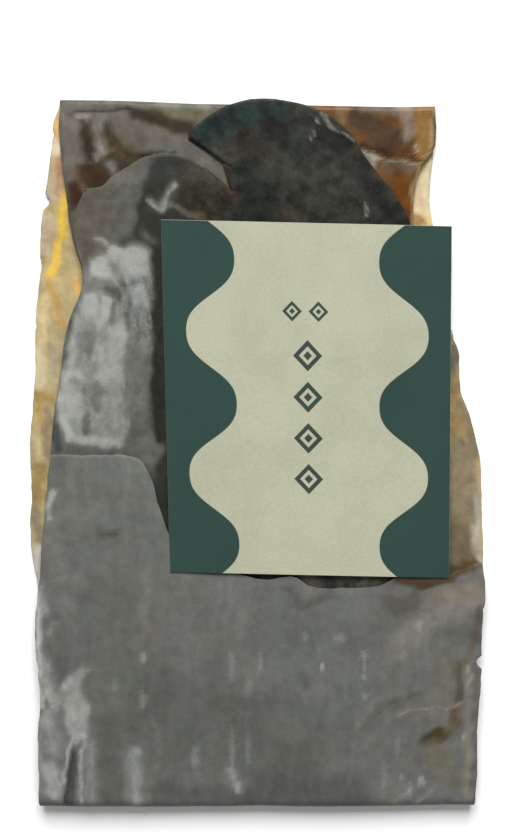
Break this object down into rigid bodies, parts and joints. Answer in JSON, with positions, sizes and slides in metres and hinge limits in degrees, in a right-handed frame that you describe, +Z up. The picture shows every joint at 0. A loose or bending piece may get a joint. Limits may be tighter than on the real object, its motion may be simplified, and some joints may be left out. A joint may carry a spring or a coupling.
{
  "type": "dried kelp sheet",
  "caption": "Long dried kelp leaf folded into a flat oblong pack, lobed base end on top, with a loose stiff paper label card lying on its front.",
  "frame": {"origin": "on the surface the pack lies on, under the middle of its bounding box", "axes": "+Z up, out of the front of the pack; +Y from the bottom folds to the lobed top; +X to the right as the front is looked at"},
  "size_m": [0.2042, 0.3215, 0.012],
  "materials": {
    "kelp": "matt, mealy white bloom over dark olive-grey, amber margins",
    "card": "matt uncoated card printed in cream and dark green"
  },
  "bodies": {
    "root": {"kelp_leaf": "kelp", "label_card": "card"}
  },
  "joints": []
}
